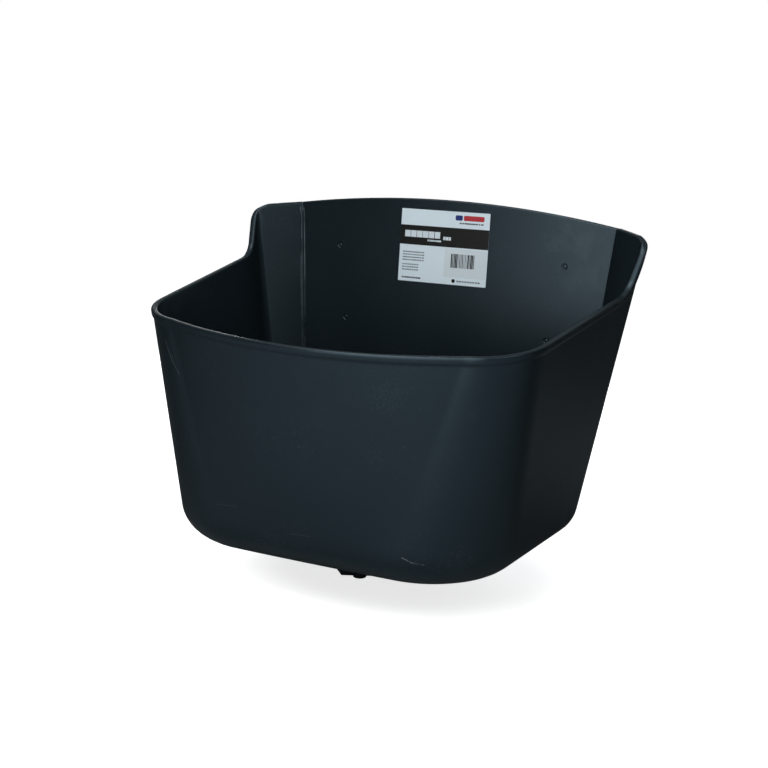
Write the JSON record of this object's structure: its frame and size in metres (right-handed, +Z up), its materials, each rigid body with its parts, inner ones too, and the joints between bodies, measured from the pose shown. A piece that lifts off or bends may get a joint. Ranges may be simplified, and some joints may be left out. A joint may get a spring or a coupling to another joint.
{
  "type": "wall-hung feed trough",
  "caption": "Wall-hung plastic feed trough with a high arched back, sloping side rims, a bowed front, wall screw holes and a screw-capped drain under its floor.",
  "frame": {"origin": "on the wall face, midway between the two upper screw holes", "axes": "+X to the right seen from the front, +Y into the wall, square to the flat back, +Z up; the trough opens upwards and its front faces -Y"},
  "size_m": [0.4176, 0.2908, 0.348],
  "materials": {
    "trough_plastic": "satin injection-moulded polyethylene, dark slate, fine texture",
    "fitting_plastic": "black moulded polypropylene",
    "seal_rubber": "black flat rubber",
    "label_film": "white printed film, semi-gloss"
  },
  "bodies": {
    "trough": {"trough_shell": "trough_plastic", "outlet_body": "fitting_plastic", "outlet_gasket": "seal_rubber", "outlet_nut": "fitting_plastic", "plain_label": "label_film"},
    "cap_washer": {"cap_seal": "seal_rubber"},
    "cap": {"drain_cap": "fitting_plastic"}
  },
  "joints": [
    {"name": "cap_travel", "type": "slide", "parent": "trough", "child": "cap_washer", "axis": [0, 0.1063, -0.9943], "range_m": [0, 0.012]},
    {"name": "cap_turn", "type": "hinge", "parent": "cap_washer", "child": "cap", "pos_m": [0, -0.1445, -0.25924], "axis": [0, 0.1063, -0.9943], "range_deg": [0, 1440]}
  ],
  "couplings": [
    {"joint": "cap_travel", "follows": "cap_turn", "m_per_rad": 0.00047746}
  ]
}
